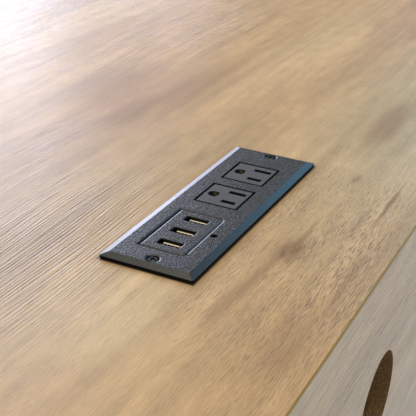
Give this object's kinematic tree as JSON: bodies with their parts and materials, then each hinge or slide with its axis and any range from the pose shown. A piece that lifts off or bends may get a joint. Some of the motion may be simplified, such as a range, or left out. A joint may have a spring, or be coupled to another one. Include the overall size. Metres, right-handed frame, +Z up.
{
  "type": "office desk",
  "caption": "Rectangular oak-print office desk on end panels, with a drawer pedestal, a rear panel with a cable hole and a power module with outlets and USB sockets let into the top.",
  "frame": {"origin": "on the floor under the middle of the top", "axes": "+X to the right of the person sitting at the desk, towards the pedestal; +Y to the rear, towards the rear panel; +Z up"},
  "size_m": [1.4, 0.7, 0.7534],
  "materials": {
    "oak_laminate": "satin oak print with fine embossed grain",
    "oak_edge_band": "satin oak print",
    "oak_panel": "satin oak print",
    "drawer_board": "matt pale board",
    "black_handle": "matt black powder coat",
    "rail_enamel": "white enamel",
    "roller_nylon": "natural white nylon",
    "cam_zinc": "dull zinc casting",
    "bolt_steel": "zinc plated",
    "glide_plastic": "black, matt",
    "faceplate_plastic": "charcoal with a fine spark texture",
    "outlet_plastic": "dark grey, smooth",
    "contact_brass": "bare",
    "housing_plastic": "black, moulded",
    "usb_steel": "dark plated sheet",
    "usb_tongue_plastic": "cream",
    "circuit_board": "green solder mask",
    "indicator_lens": "clear, unlit",
    "black_screw_steel": "black oxide",
    "gland_rubber": "matt"
  },
  "bodies": {
    "desk": {"top_panel": "oak_laminate", "rear_edge_band": "oak_edge_band", "front_edge_band": "oak_edge_band", "end_edge_bands": "oak_edge_band", "left_end_panel": "oak_panel", "right_end_panel": "oak_panel", "rear_panel": "oak_panel", "pedestal_inner_panel": "oak_panel", "pedestal_bottom_panel": "oak_panel", "kick_board": "oak_panel", "glide_feet": "glide_plastic", "cam_locks": "cam_zinc", "cam_bolts": "bolt_steel", "cabinet_rails": "rail_enamel", "power_faceplate": "faceplate_plastic", "near_outlet_face": "outlet_plastic", "far_outlet_face": "outlet_plastic", "hot_bus_bar": "contact_brass", "neutral_bus_bar": "contact_brass", "ground_bus_bar": "contact_brass", "bus_bar_carrier": "housing_plastic", "usb_insert": "faceplate_plastic", "usb_shells": "usb_steel", "usb_tongues": "usb_tongue_plastic", "usb_contacts": "contact_brass", "usb_circuit_board": "circuit_board", "indicator_lens": "indicator_lens", "faceplate_screws": "black_screw_steel", "module_housing": "housing_plastic", "cord_gland": "gland_rubber"},
    "upper_drawer": {"upper_drawer_front": "oak_panel", "upper_drawer_left_side": "drawer_board", "upper_drawer_right_side": "drawer_board", "upper_drawer_back": "drawer_board", "upper_drawer_bottom": "drawer_board", "upper_drawer_handle": "black_handle", "upper_handle_screws": "bolt_steel", "upper_drawer_rails": "rail_enamel"},
    "upper_front_rollers": {"upper_front_rollers": "roller_nylon"},
    "upper_rear_rollers": {"upper_rear_rollers": "roller_nylon"},
    "middle_drawer": {"middle_drawer_front": "oak_panel", "middle_drawer_left_side": "drawer_board", "middle_drawer_right_side": "drawer_board", "middle_drawer_back": "drawer_board", "middle_drawer_bottom": "drawer_board", "middle_drawer_handle": "black_handle", "middle_handle_screws": "bolt_steel", "middle_drawer_rails": "rail_enamel"},
    "middle_front_rollers": {"middle_front_rollers": "roller_nylon"},
    "middle_rear_rollers": {"middle_rear_rollers": "roller_nylon"},
    "lower_drawer": {"lower_drawer_front": "oak_panel", "lower_drawer_left_side": "drawer_board", "lower_drawer_right_side": "drawer_board", "lower_drawer_back": "drawer_board", "lower_drawer_bottom": "drawer_board", "lower_drawer_handle": "black_handle", "lower_handle_screws": "bolt_steel", "lower_drawer_rails": "rail_enamel"},
    "lower_front_rollers": {"lower_front_rollers": "roller_nylon"},
    "lower_rear_rollers": {"lower_rear_rollers": "roller_nylon"}
  },
  "joints": [
    {"name": "upper_drawer_slide", "type": "slide", "parent": "desk", "child": "upper_drawer", "axis": [0, -1, 0], "range_m": [0, 0.38]},
    {"name": "upper_front_roller_spin", "type": "hinge", "parent": "desk", "child": "upper_front_rollers", "pos_m": [0.47, -0.276, 0.5827], "axis": [1, 0, 0], "continuous": true},
    {"name": "upper_rear_roller_spin", "type": "hinge", "parent": "upper_drawer", "child": "upper_rear_rollers", "pos_m": [0.47, 0.194, 0.5786], "axis": [1, 0, 0], "continuous": true},
    {"name": "middle_drawer_slide", "type": "slide", "parent": "desk", "child": "middle_drawer", "axis": [0, -1, 0], "range_m": [0, 0.38]},
    {"name": "middle_front_roller_spin", "type": "hinge", "parent": "desk", "child": "middle_front_rollers", "pos_m": [0.47, -0.276, 0.4242], "axis": [1, 0, 0], "continuous": true},
    {"name": "middle_rear_roller_spin", "type": "hinge", "parent": "middle_drawer", "child": "middle_rear_rollers", "pos_m": [0.47, 0.194, 0.4201], "axis": [1, 0, 0], "continuous": true},
    {"name": "lower_drawer_slide", "type": "slide", "parent": "desk", "child": "lower_drawer", "axis": [0, -1, 0], "range_m": [0, 0.38]},
    {"name": "lower_front_roller_spin", "type": "hinge", "parent": "desk", "child": "lower_front_rollers", "pos_m": [0.47, -0.276, 0.1102], "axis": [1, 0, 0], "continuous": true},
    {"name": "lower_rear_roller_spin", "type": "hinge", "parent": "lower_drawer", "child": "lower_rear_rollers", "pos_m": [0.47, 0.194, 0.1061], "axis": [1, 0, 0], "continuous": true}
  ],
  "couplings": [
    {"joint": "upper_front_roller_spin", "follows": "upper_drawer_slide", "rad_per_m": 100},
    {"joint": "upper_rear_roller_spin", "follows": "upper_drawer_slide", "rad_per_m": 100},
    {"joint": "middle_front_roller_spin", "follows": "middle_drawer_slide", "rad_per_m": 100},
    {"joint": "middle_rear_roller_spin", "follows": "middle_drawer_slide", "rad_per_m": 100},
    {"joint": "lower_front_roller_spin", "follows": "lower_drawer_slide", "rad_per_m": 100},
    {"joint": "lower_rear_roller_spin", "follows": "lower_drawer_slide", "rad_per_m": 100}
  ]
}
